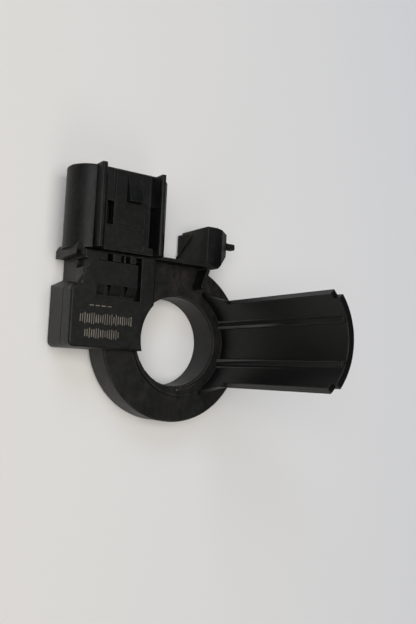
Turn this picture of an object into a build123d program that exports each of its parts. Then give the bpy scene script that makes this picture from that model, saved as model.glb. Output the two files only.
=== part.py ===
from build123d import *
import os
from math import radians, sin, sqrt

# Battery current sensor. The battery cable runs along Z through a round aperture.
# The origin is on the aperture's axis, on the flat underside. Millimetres.

# Ring round the cable
RING_OUTER_R = 21.5
RING_WIDTH = 9.5
LID_BORE_STEP = 0.2
RING_TOP_Z = 9.5
PARTING_Z = 9.0
COLLAR_WIDTH = 2.7
COLLAR_SHIFT = 1.6
COLLAR_TOP_Z = 9.9
COLLAR_LAND_Y = 10.0
COLLAR_LAND_WIDTH = 3.2
LIP_WIDTH = 0.45
LIP_HEIGHT = 0.35
LIP_END_Y = 4.0
BORE_WALL = 1.4

# Largest distance at which a corner still counts as the one that was asked for
PLACE_TOLERANCE = 0.01

# Walls of both mouldings
WALL = 1.6
FLOOR = 1.6
BOTTOM_CHAMFER = 0.8
PARTING_CHAMFER = 0.25
TOP_ROUND = 0.6
FIT_GAP = 0.1

# Electronics bay beside the ring, set by the ring's outer wall
BAY_REACH = 11.2
BAY_LENGTH = 24.4
BAY_REAR_SETBACK = 0.5
BAY_TOP_Z = 14.0
BAY_CORNER_R = 1.5
BAY_ARC_MARGIN = 0.9
BAY_ARC_OVERLAP = 2.74
NOTCH_DEPTH = 3.1
NOTCH_LENGTH = 6.2
SHOULDER_DEPTH = 2.9
SHOULDER_FOOT = 8.7
SHOULDER_HEAD = 10.6
SHOULDER_RISE = 1.6
SIDE_RECESS_SETBACK = 2.5
SIDE_RECESS_WIDTH = 2.3
SIDE_RECESS_DEPTH = 1.1

# Flange at the left end of the shroud's root
FLANGE_INSET = 0.6
FLANGE_THICKNESS = 2.0
FLANGE_BOTTOM_Z = 1.0
FLANGE_CHAMFER = 1.1

# Window in the bay's roof, over the terminal carrier, measured from the bay's left rear corner.
# Each slot in its rear edge has a distance from the window's left side and a width.
WINDOW_OFFSET_X = 6.5
WINDOW_WIDTH = 12.3
WINDOW_SETBACK = 2.6
WINDOW_DEPTH = 9.4
ROOF_SLOT_LENGTH = 1.8
ROOF_SLOT_DEPTH = 3.0
ROOF_SLOTS = ((2.6, 1.4), (6.4, 0.7), (7.6, 1.3), (10.5, 1.8))

# Connector shroud, open towards +Y
SHROUD_OFFSET_X = 13.3
SHROUD_CENTRE_Z = 8.7
SHROUD_WIDTH = 27.6
SHROUD_HEIGHT = 12.4
SHROUD_LENGTH = 20.9
SHROUD_WALL = 1.8
SHROUD_BACK = 1.8
MOUTH_CHAMFER = 0.5
MOUTH_RIM_CHAMFER = 0.35

# Guide fins, lock ramp, slots and grooves on the shroud, measured from its middle and its root
FIN_TOP_Z = 18.0
FIN_ROUND = 0.45
LEFT_FIN_OFFSET = -8.9
LEFT_FIN_THICKNESS = 1.2
LEFT_FIN_SPLAY = 1.6
RIGHT_FIN_OFFSET = 7.9
RIGHT_FIN_THICKNESS = 1.2
WEB_WIDTH = 1.1
WEB_HEIGHT = 2.6
WEB_SETBACK = 0.4
RAMP_OFFSET = -0.4
RAMP_WIDTH = 3.8
RAMP_SETBACK = 1.0
RAMP_LENGTH = 7.2
RAMP_HEIGHT = 2.2
LEFT_SLOT_OFFSET = -5.6
LEFT_SLOT_WIDTH = 1.8
LEFT_SLOT_REACH = 6.5
LEFT_SLOT_LENGTH = 5.9
RIGHT_SLOT_OFFSET = 6.7
RIGHT_SLOT_REACH = 1.9
RIGHT_SLOT_LENGTH = 10.5
LEDGE_WIDTH = 1.7
LEDGE_DEPTH = 0.4
GROOVE_WIDTH = 0.5
GROOVE_DEPTH = 0.4
LEFT_GROOVE_OFFSET = -4.1
RIGHT_GROOVE_OFFSET = 6.3
ROOT_STEP_START = 1.0
ROOT_STEP_END = 7.0
ROOT_STEP_DEPTH = 0.25

# Cable guide, a quarter pipe that stands on the ring
GUIDE_SETBACK = 2.8
GUIDE_WALL = 1.8
GUIDE_TOP_Z = 59.1
GUIDE_HALF_ANGLE = 45.0
GUIDE_EDGE_SETBACK = 1.8
GUIDE_END_HALF_ANGLE = 40.0
GUIDE_RIB_Y = 4.2
GUIDE_RIB_WIDTH = 1.4
GUIDE_RIB_DEPTH = 0.8
GUIDE_RIB_SETBACK = 0.6
WING_HALF_ANGLE = 60.5
WING_TOP_Z = 17.8
WING_BOW_Y = 0.43
WING_BOW_Z = 0.39

# Arm wall behind the ring and its radial rib
ARM_THICKNESS = 0.9
ARM_RIB_ANGLE = 71.5
ARM_RIB_THICKNESS = 1.0
ARM_RIB_SETBACK = 6.1

# Faceted tower at the end of the arm
TOWER_LEFT_X = 5.9
TOWER_WIDTH = 7.7
TOWER_OVERLAP = 1.0
TOWER_LENGTH = 11.3
TOWER_FOOT_Z = 0.6
TOWER_WALL = 1.4
TOWER_BEVEL_X = 3.0
TOWER_BEVEL_Z = 2.1
TOWER_FRONT_CHAMFER_X = 4.0
TOWER_FRONT_CHAMFER_Y = 4.1
TOWER_REAR_CHAMFER_X = 4.6
TOWER_REAR_CHAMFER_Y = 0.9
TOWER_PAD = 1.4
TOWER_PAD_HEIGHT = 5.2
TOWER_BRACE_WIDTH = 0.7
TOWER_BRACE_RISE = 0.35
TOWER_BRACE_REACH = 7.0
NIB_LENGTH = 2.9
NIB_WIDTH = 1.7
NIB_SETBACK = 7.1
NIB_HEIGHT = 1.6
NIB_ROUND = 0.4

# Gapped flux core, a stack of many-sided stampings between two foam pads
SHEET_COUNT = 7
SHEET_THICKNESS = 0.8
CORE_INNER_CLEARANCE = 0.8
CORE_OUTER_CLEARANCE = 0.7
CORE_GAP = 3.0
CORE_GAP_ANGLE = 170.0
CORE_SIDES = 48
PAD_THICKNESS = 0.4

# Hall sensor in the gap
HALL_THICKNESS = 1.5
HALL_SIDE_MARGIN = 0.5
HALL_HEIGHT = 3.2
HALL_LEAD = 0.4
HALL_LEAD_COUNT = 4
HALL_LEAD_MARGIN = 0.35

# Circuit board in the bay
BOARD_THICKNESS = 1.0
BOARD_Z = 9.4
BOARD_MARGIN = 0.5
BOARD_REAR_GAP = 0.7
HOLE_CLEARANCE = 0.1
POST_R = 1.2
POST_PEG_R = 0.7
POST_HEAD_HEIGHT = 0.5

# Signal chip and small parts on the board, measured from the bay's left front corner
CHIP_PLACE = (7.5, 8.0)
CHIP_LENGTH = 4.9
CHIP_WIDTH = 3.9
CHIP_HEIGHT = 1.3
CHIP_STANDOFF = 0.15
CHIP_LEAD_COUNT = 4
CHIP_LEAD_PITCH = 1.27
CHIP_LEAD_WIDTH = 0.42
CHIP_LEAD_REACH = 1.0
CHIP_LEAD_THICKNESS = 0.2
CAPACITOR_SIZE = (2.0, 1.25, 0.9)
CAPACITOR_PLACES = ((3.4, 8.4), (3.4, 6.9), (3.4, 5.4), (12.3, 8.3))
RESISTOR_SIZE = (1.6, 0.8, 0.45)
RESISTOR_PLACES = ((12.3, 4.4), (5.6, 2.8), (12.3, 2.8))
END_CAP = 0.35
END_CAP_STEP = 0.04

# Blade terminals and the carrier that holds them, with its pits measured from the window's left
TERMINAL_COUNT = 3
TERMINAL_PITCH = 3.0
TERMINAL_WIDTH = 1.5
TERMINAL_THICKNESS = 0.64
TERMINAL_TIP_SETBACK = 6.0
TERMINAL_TAIL_INSET = 1.6
TERMINAL_PIN_RISE = 0.8
TERMINAL_POINT = 0.8
CARRIER_LIP_Z = 12.2
CARRIER_TOP_Z = 13.6
CARRIER_LIP = 0.8
CARRIER_SLOPE = 2.6
CARRIER_NECK_HEIGHT = 2.4
CARRIER_NECK_MARGIN = 0.7
CARRIER_SIDE_GAP = 0.9
PIT_OFFSETS = (3.5, 8.2)
PIT_WIDTH = 1.4
PIT_DROP = 2.0

# Sizes that follow from the ones above
APERTURE_R = RING_OUTER_R - RING_WIDTH
COLLAR_R = APERTURE_R + COLLAR_WIDTH
GUIDE_INNER_R = APERTURE_R + GUIDE_SETBACK
BAY_ARC_R = APERTURE_R + BAY_ARC_MARGIN
BAY_LEFT_X = -RING_OUTER_R - BAY_REACH
BAY_REAR_Y = RING_OUTER_R - BAY_REAR_SETBACK
BAY_FRONT_Y = BAY_REAR_Y - BAY_LENGTH
BAY_RIGHT_X = BAY_ARC_OVERLAP - sqrt(BAY_ARC_R ** 2 - BAY_FRONT_Y ** 2)
NOTCH_X = BAY_LEFT_X + NOTCH_DEPTH
NOTCH_Y = BAY_REAR_Y - NOTCH_LENGTH
SHOULDER_X = BAY_LEFT_X + SHOULDER_DEPTH
WINDOW_LEFT_X = BAY_LEFT_X + WINDOW_OFFSET_X
WINDOW_FRONT_Y = BAY_REAR_Y - WINDOW_SETBACK - WINDOW_DEPTH
BOARD_REAR_Y = WINDOW_FRONT_Y - BOARD_REAR_GAP
TERMINAL_TAIL_Y = BOARD_REAR_Y - TERMINAL_TAIL_INSET
SHROUD_CENTRE_X = BAY_LEFT_X + SHROUD_OFFSET_X
TOWER_FRONT_Y = RING_OUTER_R - TOWER_OVERLAP
TOWER_REAR_Y = TOWER_FRONT_Y + TOWER_LENGTH
NIB_Y = TOWER_FRONT_Y + NIB_SETBACK
CORE_BOTTOM_Z = FLOOR + PAD_THICKNESS
CORE_TOP_Z = CORE_BOTTOM_Z + SHEET_COUNT * SHEET_THICKNESS
CHANNEL_TOP_Z = CORE_TOP_Z + PAD_THICKNESS
CHANNEL_INNER_R = APERTURE_R + BORE_WALL
CHANNEL_OUTER_R = RING_OUTER_R - WALL
CORE_INNER_R = CHANNEL_INNER_R + CORE_INNER_CLEARANCE
CORE_OUTER_R = CHANNEL_OUTER_R - CORE_OUTER_CLEARANCE
CORE_WIDTH = CORE_OUTER_R - CORE_INNER_R
HALL_WIDTH = CORE_WIDTH - 2 * HALL_SIDE_MARGIN
HALL_LEAD_PITCH = (HALL_WIDTH - 2 * HALL_LEAD_MARGIN) / (HALL_LEAD_COUNT - 1)
ROOF_Z = BAY_TOP_Z - WALL
SHROUD_END_Y = BAY_REAR_Y + SHROUD_LENGTH
SHROUD_TOP_Z = SHROUD_CENTRE_Z + SHROUD_HEIGHT / 2
GUIDE_OUTER_R = GUIDE_INNER_R + GUIDE_WALL
BOARD_TOP_Z = BOARD_Z + BOARD_THICKNESS
TERMINAL_BOTTOM_Z = SHROUD_CENTRE_Z - TERMINAL_THICKNESS / 2
TERMINAL_TIP_Y = SHROUD_END_Y - TERMINAL_TIP_SETBACK
HALL_R = CORE_INNER_R + CORE_WIDTH / 2
HALL_BOTTOM_Z = CORE_BOTTOM_Z + (SHEET_COUNT * SHEET_THICKNESS - HALL_HEIGHT) / 2
TOWER_RIGHT_X = TOWER_LEFT_X + TOWER_WIDTH
LID_GAP_Y = BAY_REAR_Y - FIT_GAP


def block(x0, x1, y0, y1, z0, z1):
    """Box between two corners."""
    return Pos((x0 + x1) / 2, (y0 + y1) / 2, (z0 + z1) / 2) * Box(x1 - x0, y1 - y0, z1 - z0)


def disc(radius, z0, z1, centre=(0, 0)):
    """Upright cylinder between two heights."""
    return Pos(centre[0], centre[1], z0) * Cylinder(
        radius, z1 - z0, align=(Align.CENTER, Align.CENTER, Align.MIN)
    )


def tube(inner, outer, z0, z1):
    """Upright pipe round the cable axis."""
    return disc(outer, z0, z1) - disc(inner, z0, z1)


def prism(face, z0, z1):
    """Flat outline drawn out between two heights."""
    return extrude(Pos(0, 0, z0) * face, amount=z1 - z0, dir=(0, 0, 1))


def wedge(half_angle, radius, z0, z1, middle=0.0):
    """Sector of a disc round the cable axis, as wide as twice half_angle."""
    start = middle - half_angle
    arc = CenterArc((0, 0), radius, start, 2 * half_angle)
    sector = make_face([arc, Line(arc @ 1, (0, 0)), Line((0, 0), arc @ 0)])
    return prism(sector, z0, z1)


def pick_corners(face, places):
    """Vertices of an outline that lie on the named places."""
    return [
        v for v in face.vertices()
        if any(abs(v.X - x) + abs(v.Y - y) < PLACE_TOLERANCE for x, y in places)
    ]


def lower_bay_outline():
    """Plan of the bay's base, with the notch in its left wall."""
    points = [
        (BAY_LEFT_X, BAY_FRONT_Y),
        (BAY_LEFT_X, NOTCH_Y),
        (NOTCH_X, NOTCH_Y),
        (NOTCH_X, BAY_REAR_Y),
        (BAY_RIGHT_X, BAY_REAR_Y),
        (BAY_RIGHT_X, BAY_FRONT_Y),
    ]
    face = make_face(Polyline(*points, close=True))
    return fillet(pick_corners(face, points[:1]), BAY_CORNER_R)


def upper_bay_outline():
    """Plan of the bay's upper shell, before its shoulder is sloped."""
    points = [
        (BAY_LEFT_X, BAY_FRONT_Y),
        (BAY_LEFT_X, NOTCH_Y),
        (SHOULDER_X, NOTCH_Y),
        (SHOULDER_X, LID_GAP_Y),
        (BAY_RIGHT_X, LID_GAP_Y),
        (BAY_RIGHT_X, BAY_FRONT_Y),
    ]
    face = make_face(Polyline(*points, close=True))
    return fillet(pick_corners(face, points[:1]), BAY_CORNER_R)


def shoulder_cutter(right_x, inset=0.0):
    """Space beyond the slanted face at the bay's left rear corner, moved inwards by an inset."""
    foot_y = BAY_REAR_Y - SHOULDER_FOOT
    left_foot = Vector(BAY_LEFT_X, foot_y, 0)
    right_foot = Vector(SHOULDER_X, foot_y + SHOULDER_RISE, 0)
    left_head = Vector(BAY_LEFT_X, BAY_REAR_Y - SHOULDER_HEAD, BAY_TOP_Z)
    along = right_foot - left_foot
    face = Plane(origin=left_foot, x_dir=along, z_dir=(left_head - left_foot).cross(along))
    side = 2 * BAY_LENGTH
    slab = face * Pos(0, 0, side / 2 - inset) * Box(side, side, side)
    return slab & block(BAY_LEFT_X - side, right_x, BAY_FRONT_Y, BAY_REAR_Y, -side, side)


def bay_cavity(z0, z1):
    """Free space inside the upper shell."""
    inside = offset(upper_bay_outline(), amount=-WALL)
    cavity = prism(inside, z0, z1) - disc(BAY_ARC_R + WALL, z0, z1)
    return cavity - shoulder_cutter(SHOULDER_X + WALL, WALL)


def shroud_plane(y):
    """Work plane across the shroud, seen along +Y."""
    return Plane(origin=(SHROUD_CENTRE_X, y, SHROUD_CENTRE_Z), x_dir=(1, 0, 0), z_dir=(0, 1, 0))


def shroud_body():
    """Oblong shroud with its back wall and the chamfered mouth."""
    outer = extrude(shroud_plane(BAY_REAR_Y) * SlotOverall(SHROUD_WIDTH, SHROUD_HEIGHT), SHROUD_LENGTH)
    cavity_width = SHROUD_WIDTH - 2 * SHROUD_WALL
    cavity_height = SHROUD_HEIGHT - 2 * SHROUD_WALL
    back = shroud_plane(BAY_REAR_Y + SHROUD_BACK)
    cavity = extrude(back * SlotOverall(cavity_width, cavity_height), SHROUD_LENGTH - SHROUD_BACK)
    shell = outer - cavity
    mouth = shell.faces().sort_by(Axis.Y)[-1]
    shell = chamfer(mouth.inner_wires()[0].edges(), MOUTH_CHAMFER)
    mouth = shell.faces().sort_by(Axis.Y)[-1]
    return chamfer(mouth.outer_wire().edges(), MOUTH_RIM_CHAMFER)


def shroud_x(offset_x):
    """X of a place measured from the shroud's middle."""
    return SHROUD_CENTRE_X + offset_x


def left_fin():
    """Guide fin with an upright outer face and a splayed inner one."""
    root_z = SHROUD_CENTRE_Z + SHROUD_HEIGHT / 4
    outer = shroud_x(LEFT_FIN_OFFSET)
    inner = outer + LEFT_FIN_THICKNESS
    section = Polyline(
        (outer, root_z),
        (inner + LEFT_FIN_SPLAY, root_z),
        (inner + LEFT_FIN_SPLAY, SHROUD_TOP_Z),
        (inner, FIN_TOP_Z),
        (outer, FIN_TOP_Z),
        close=True,
    )
    fin = extrude(Plane.XZ.offset(-BAY_REAR_Y) * make_face(section), amount=-SHROUD_LENGTH)
    crest = fin.edges().filter_by(Axis.Y).group_by(Axis.Z)[-1]
    return fillet(crest, FIN_ROUND)


def right_fin():
    """Guide fin with a sloping web towards the mouth."""
    root_z = SHROUD_CENTRE_Z + SHROUD_HEIGHT / 4
    near = shroud_x(RIGHT_FIN_OFFSET)
    fin = block(near, near + RIGHT_FIN_THICKNESS, BAY_REAR_Y, SHROUD_END_Y, root_z, FIN_TOP_Z)
    fin = fillet(fin.edges().filter_by(Axis.Y).group_by(Axis.Z)[-1], FIN_ROUND)
    section = Polyline(
        (near - WEB_WIDTH, SHROUD_TOP_Z - SHROUD_WALL / 2),
        (near + RIGHT_FIN_THICKNESS / 2, SHROUD_TOP_Z - SHROUD_WALL / 2),
        (near + RIGHT_FIN_THICKNESS / 2, SHROUD_TOP_Z + WEB_HEIGHT),
        (near, SHROUD_TOP_Z + WEB_HEIGHT),
        (near - WEB_WIDTH, SHROUD_TOP_Z),
        close=True,
    )
    start = BAY_REAR_Y + RIGHT_SLOT_REACH + RIGHT_SLOT_LENGTH
    end = SHROUD_END_Y - WEB_SETBACK
    web = extrude(Plane.XZ.offset(-start) * make_face(section), amount=start - end)
    return fin + web


def lock_ramp():
    """Wedge that the mating connector's latch rides over."""
    far = SHROUD_END_Y - RAMP_SETBACK
    near = far - RAMP_LENGTH
    side = make_face(
        Polyline(
            (far, SHROUD_TOP_Z),
            (near, SHROUD_TOP_Z + RAMP_HEIGHT),
            (near, SHROUD_TOP_Z - SHROUD_WALL / 2),
            (far, SHROUD_TOP_Z - SHROUD_WALL / 2),
            close=True,
        )
    )
    return extrude(Plane.YZ.offset(shroud_x(RAMP_OFFSET)) * side, amount=RAMP_WIDTH)


def shroud_cut(offset_x, width, reach, length, bottom):
    """Upright cut from above, placed from the shroud's middle and root."""
    left = shroud_x(offset_x)
    start = BAY_REAR_Y + reach
    return block(left, left + width, start, start + length, bottom, FIN_TOP_Z)


def shroud_slots():
    """Two long slots in the shroud's top wall, each cut through to the cavity."""
    middle = SHROUD_CENTRE_Z
    right_width = RIGHT_FIN_OFFSET - RIGHT_SLOT_OFFSET
    left = shroud_cut(LEFT_SLOT_OFFSET, LEFT_SLOT_WIDTH, LEFT_SLOT_REACH, LEFT_SLOT_LENGTH, middle)
    right = shroud_cut(RIGHT_SLOT_OFFSET, right_width, RIGHT_SLOT_REACH, RIGHT_SLOT_LENGTH, middle)
    return left + right


def shroud_steps():
    """Shallow ledge, grooves and sunk field in the shroud's top."""
    ledge_x = RIGHT_SLOT_OFFSET - LEDGE_WIDTH
    ledge_z = SHROUD_TOP_Z - LEDGE_DEPTH
    groove_start = RIGHT_SLOT_REACH + RIGHT_SLOT_LENGTH
    groove_length = SHROUD_LENGTH - groove_start
    groove_z = SHROUD_TOP_Z - GROOVE_DEPTH
    field_x = LEFT_GROOVE_OFFSET + GROOVE_WIDTH
    field_length = ROOT_STEP_END - ROOT_STEP_START
    field_z = SHROUD_TOP_Z - ROOT_STEP_DEPTH
    cuts = shroud_cut(ledge_x, LEDGE_WIDTH, RIGHT_SLOT_REACH, RIGHT_SLOT_LENGTH, ledge_z)
    cuts += shroud_cut(LEFT_GROOVE_OFFSET, GROOVE_WIDTH, groove_start, groove_length, groove_z)
    cuts += shroud_cut(RIGHT_GROOVE_OFFSET, GROOVE_WIDTH, groove_start, groove_length, groove_z)
    return cuts + shroud_cut(field_x, ledge_x - field_x, ROOT_STEP_START, field_length, field_z)


def carrier_neck(gap):
    """Part of the carrier that passes the shroud's back wall, grown by a gap."""
    half = TERMINAL_PITCH * (TERMINAL_COUNT - 1) / 2 + TERMINAL_WIDTH / 2 + CARRIER_NECK_MARGIN
    return block(
        SHROUD_CENTRE_X - half - gap, SHROUD_CENTRE_X + half + gap,
        WINDOW_FRONT_Y + WINDOW_DEPTH / 2, BAY_REAR_Y + SHROUD_BACK,
        CHANNEL_TOP_Z, CHANNEL_TOP_Z + CARRIER_NECK_HEIGHT + gap,
    )


def left_flange():
    """Upright bar with a chamfered head, left of the shroud's root."""
    front = BAY_REAR_Y - FLANGE_THICKNESS + FIT_GAP
    rear = front + FLANGE_THICKNESS + FLANGE_CHAMFER
    inner_x = SHOULDER_X - FIT_GAP
    left_x = BAY_LEFT_X + FLANGE_INSET
    section = make_face(
        Polyline(
            (left_x, front),
            (inner_x, front),
            (inner_x, rear - FLANGE_CHAMFER),
            (inner_x - FLANGE_CHAMFER, rear),
            (left_x + FLANGE_CHAMFER / 2, rear),
            (left_x, rear - FLANGE_CHAMFER),
            close=True,
        )
    )
    return prism(section, FLANGE_BOTTOM_Z, BAY_TOP_Z)


def post_places():
    """Centres of the three board posts."""
    left = BAY_LEFT_X + WALL + POST_R + BOARD_MARGIN
    front = BAY_FRONT_Y + WALL + POST_R + BOARD_MARGIN
    rear = BOARD_REAR_Y - POST_R
    return [(left, front), (left, rear), (-RING_OUTER_R - 2 * POST_R - BOARD_MARGIN, front)]


def board_posts():
    """Posts with heat-staked pegs that hold the board."""
    posts = Part()
    for place in post_places():
        posts += disc(POST_R, FLOOR / 2, BOARD_Z, place)
        posts += disc(POST_PEG_R, BOARD_Z, BOARD_TOP_Z, place)
        posts += disc(POST_R, BOARD_TOP_Z, BOARD_TOP_Z + POST_HEAD_HEIGHT, place)
    return posts


def board_pip():
    """Small rest for the board on the ring's outer wall."""
    return disc(WALL / 2, CHANNEL_TOP_Z - FLOOR, BOARD_Z, (-RING_OUTER_R + WALL / 2, 0))


def at_gap(shape):
    """Turns a shape made on the +X axis to the core's gap."""
    return Rot(0, 0, CORE_GAP_ANGLE) * shape


def hall_rest():
    """Ledge that carries the Hall sensor's body."""
    return at_gap(
        block(
            HALL_R - HALL_WIDTH / 2, HALL_R + HALL_WIDTH / 2,
            -HALL_THICKNESS / 2, HALL_THICKNESS / 2,
            FLOOR / 2, HALL_BOTTOM_Z,
        )
    )


def make_housing():
    """Lower moulding: ring, bay base, flange and connector shroud."""
    outer = disc(RING_OUTER_R, 0, PARTING_Z) + prism(lower_bay_outline(), 0, PARTING_Z)
    outer -= shoulder_cutter(NOTCH_X)
    outer = chamfer(outer.faces().sort_by(Axis.Z)[0].outer_wire().edges(), BOTTOM_CHAMFER)
    outer = chamfer(outer.faces().sort_by(Axis.Z)[-1].outer_wire().edges(), PARTING_CHAMFER)
    body = outer + shroud_body() + left_fin() + right_fin() + lock_ramp() + left_flange()
    bay_hollow = prism(offset(lower_bay_outline(), amount=-WALL), FLOOR, PARTING_Z)
    bay_hollow -= shoulder_cutter(NOTCH_X + WALL, WALL)
    bay_hollow -= disc(RING_OUTER_R, FLOOR, CHANNEL_TOP_Z)
    bay_hollow -= disc(CHANNEL_INNER_R, FLOOR, PARTING_Z)
    body -= bay_hollow + tube(CHANNEL_INNER_R, CHANNEL_OUTER_R, FLOOR, PARTING_Z)
    body -= shroud_slots() + shroud_steps()
    body -= carrier_neck(FIT_GAP)
    body += board_posts() + board_pip() + hall_rest()
    return body - disc(APERTURE_R, 0, PARTING_Z)


def guide_shell():
    """Quarter pipe, narrower at its free end."""
    edge_end = GUIDE_TOP_Z - GUIDE_EDGE_SETBACK
    pipe = tube(GUIDE_INNER_R, GUIDE_OUTER_R, PARTING_Z, GUIDE_TOP_Z)
    long_part = pipe & wedge(GUIDE_HALF_ANGLE, 2 * GUIDE_OUTER_R, PARTING_Z, edge_end)
    end_part = pipe & wedge(GUIDE_END_HALF_ANGLE, 2 * GUIDE_OUTER_R, edge_end, GUIDE_TOP_Z)
    return long_part + end_part


def guide_ribs():
    """Two shallow ribs along the inside of the guide."""
    ribs = Part()
    far_y = GUIDE_RIB_Y + GUIDE_RIB_WIDTH
    face_x = sqrt(GUIDE_INNER_R ** 2 - GUIDE_RIB_Y ** 2) - GUIDE_RIB_DEPTH
    back_x = sqrt(GUIDE_OUTER_R ** 2 - far_y ** 2) - GUIDE_WALL / 2
    for side in (-1, 1):
        near, far = sorted((side * GUIDE_RIB_Y, side * far_y))
        ribs += block(face_x, back_x, near, far, PARTING_Z, GUIDE_TOP_Z - GUIDE_RIB_SETBACK)
    return ribs


def guide_wings():
    """Curved webs that run from the guide's edges down to the collar."""
    root_z = RING_TOP_Z
    inner_y = GUIDE_INNER_R * sin(radians(GUIDE_HALF_ANGLE)) - GUIDE_WALL
    edge_y = GUIDE_OUTER_R * sin(radians(GUIDE_HALF_ANGLE)) - FIT_GAP
    outer_y = GUIDE_OUTER_R * sin(radians(WING_HALF_ANGLE))
    middle = (edge_y + (outer_y - edge_y) * WING_BOW_Y, root_z + (WING_TOP_Z - root_z) * WING_BOW_Z)
    curve = ThreePointArc((outer_y, root_z), middle, (edge_y, WING_TOP_Z))
    side = [
        Line((inner_y, PARTING_Z), (outer_y, PARTING_Z)),
        Line((outer_y, PARTING_Z), (outer_y, root_z)),
        curve,
        Line((edge_y, WING_TOP_Z), (inner_y, WING_TOP_Z)),
        Line((inner_y, WING_TOP_Z), (inner_y, PARTING_Z)),
    ]
    right = extrude(Plane.YZ * make_face(side), amount=GUIDE_OUTER_R)
    pipe = tube(GUIDE_INNER_R, GUIDE_OUTER_R, PARTING_Z, WING_TOP_Z)
    sector = wedge(WING_HALF_ANGLE, 2 * GUIDE_OUTER_R, PARTING_Z, WING_TOP_Z)
    return (right + mirror(right, Plane.XZ)) & pipe & sector


def arm():
    """Straight wall behind the ring, with the radial rib that stiffens it."""
    rear = RING_OUTER_R
    wall = block(
        BAY_RIGHT_X - WALL, TOWER_LEFT_X + WALL,
        rear - ARM_THICKNESS, rear,
        PARTING_Z, BAY_TOP_Z,
    )
    grown = SlotOverall(SHROUD_WIDTH + 2 * FIT_GAP, SHROUD_HEIGHT + 2 * FIT_GAP)
    wall -= extrude(shroud_plane(LID_GAP_Y) * grown, SHROUD_LENGTH)
    rib = block(
        RING_OUTER_R - ARM_RIB_SETBACK, RING_OUTER_R - ARM_THICKNESS / 2,
        -ARM_RIB_THICKNESS / 2, ARM_RIB_THICKNESS / 2,
        PARTING_Z, BAY_TOP_Z,
    )
    return wall + Rot(0, 0, ARM_RIB_ANGLE) * rib


def tower_outline(inset):
    """Plan of the faceted tower, moved inwards by an inset."""
    left = TOWER_LEFT_X + inset
    right = TOWER_RIGHT_X - inset
    front = TOWER_FRONT_Y + inset
    rear = TOWER_REAR_Y - inset
    return make_face(
        Polyline(
            (left, front),
            (right - TOWER_FRONT_CHAMFER_X, front),
            (right, front + TOWER_FRONT_CHAMFER_Y),
            (right, rear - TOWER_REAR_CHAMFER_Y),
            (right - TOWER_REAR_CHAMFER_X, rear),
            (left, rear),
            close=True,
        )
    )


def tower_bevel():
    """Long bevel along the tower's far top edge."""
    side = make_face(
        Polyline(
            (TOWER_RIGHT_X - TOWER_BEVEL_X, BAY_TOP_Z),
            (TOWER_RIGHT_X, BAY_TOP_Z - TOWER_BEVEL_Z),
            (TOWER_RIGHT_X, BAY_TOP_Z),
            close=True,
        )
    )
    return extrude(Plane.XZ.offset(-TOWER_FRONT_Y) * side, amount=TOWER_FRONT_Y - TOWER_REAR_Y)


def tower_pad(rise=0.0):
    """Sloping wedge on the tower's near side, widest at the foot and moved outwards by a rise."""
    top = TOWER_FOOT_Z + TOWER_PAD_HEIGHT
    side = make_face(
        Polyline(
            (TOWER_LEFT_X - TOWER_PAD - rise, TOWER_FOOT_Z),
            (TOWER_LEFT_X + TOWER_WALL / 2, TOWER_FOOT_Z),
            (TOWER_LEFT_X + TOWER_WALL / 2, top),
            (TOWER_LEFT_X - rise, top),
            close=True,
        )
    )
    rear = TOWER_REAR_Y - TOWER_REAR_CHAMFER_Y
    return extrude(Plane.XZ.offset(-RING_OUTER_R) * side, amount=RING_OUTER_R - rear)


def tower_brace():
    """Slanting rib across the sloping wedge."""
    rear = TOWER_REAR_Y - TOWER_REAR_CHAMFER_Y
    foot_y = rear - TOWER_BRACE_REACH
    top = TOWER_FOOT_Z + TOWER_PAD_HEIGHT
    side = make_face(
        Polyline(
            (foot_y, TOWER_FOOT_Z),
            (foot_y + TOWER_BRACE_WIDTH, TOWER_FOOT_Z),
            (rear, top),
            (rear - TOWER_BRACE_WIDTH, top),
            close=True,
        )
    )
    left = TOWER_LEFT_X - TOWER_PAD - TOWER_BRACE_RISE
    slab = extrude(Plane.YZ.offset(left) * side, amount=TOWER_LEFT_X + TOWER_WALL / 2 - left)
    return slab & tower_pad(TOWER_BRACE_RISE)


def make_tower():
    """Hollow tower with its nib, kept clear of the ring's outer wall."""
    solid = prism(tower_outline(0), TOWER_FOOT_Z, BAY_TOP_Z) + tower_pad() + tower_brace()
    solid -= tower_bevel()
    solid -= prism(tower_outline(TOWER_WALL), TOWER_FOOT_Z, BAY_TOP_Z - TOWER_BEVEL_Z - TOWER_WALL)
    solid -= disc(RING_OUTER_R + 2 * FIT_GAP, 0, PARTING_Z)
    nib_top = BAY_TOP_Z - TOWER_BEVEL_Z
    nib = block(
        TOWER_RIGHT_X - TOWER_WALL / 2, TOWER_RIGHT_X + NIB_LENGTH,
        NIB_Y - NIB_WIDTH / 2, NIB_Y + NIB_WIDTH / 2,
        nib_top - NIB_HEIGHT, nib_top,
    )
    tip = nib.edges().filter_by(Axis.Z).sort_by(Axis.X)[-2:]
    return solid + fillet(tip, NIB_ROUND)


def bay_shell():
    """Upper shell of the bay, rounded along the roof and sloped at the shoulder."""
    shell = prism(upper_bay_outline(), PARTING_Z, BAY_TOP_Z) - disc(BAY_ARC_R, PARTING_Z, BAY_TOP_Z)
    roof = shell.faces().filter_by(Axis.Z).sort_by(Axis.Z)[-1]
    return fillet(roof.outer_wire().edges(), TOP_ROUND) - shoulder_cutter(SHOULDER_X)


def roof_window():
    """Plan of the roof's window."""
    return (
        WINDOW_LEFT_X, WINDOW_LEFT_X + WINDOW_WIDTH,
        WINDOW_FRONT_Y, WINDOW_FRONT_Y + WINDOW_DEPTH,
    )


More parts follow.
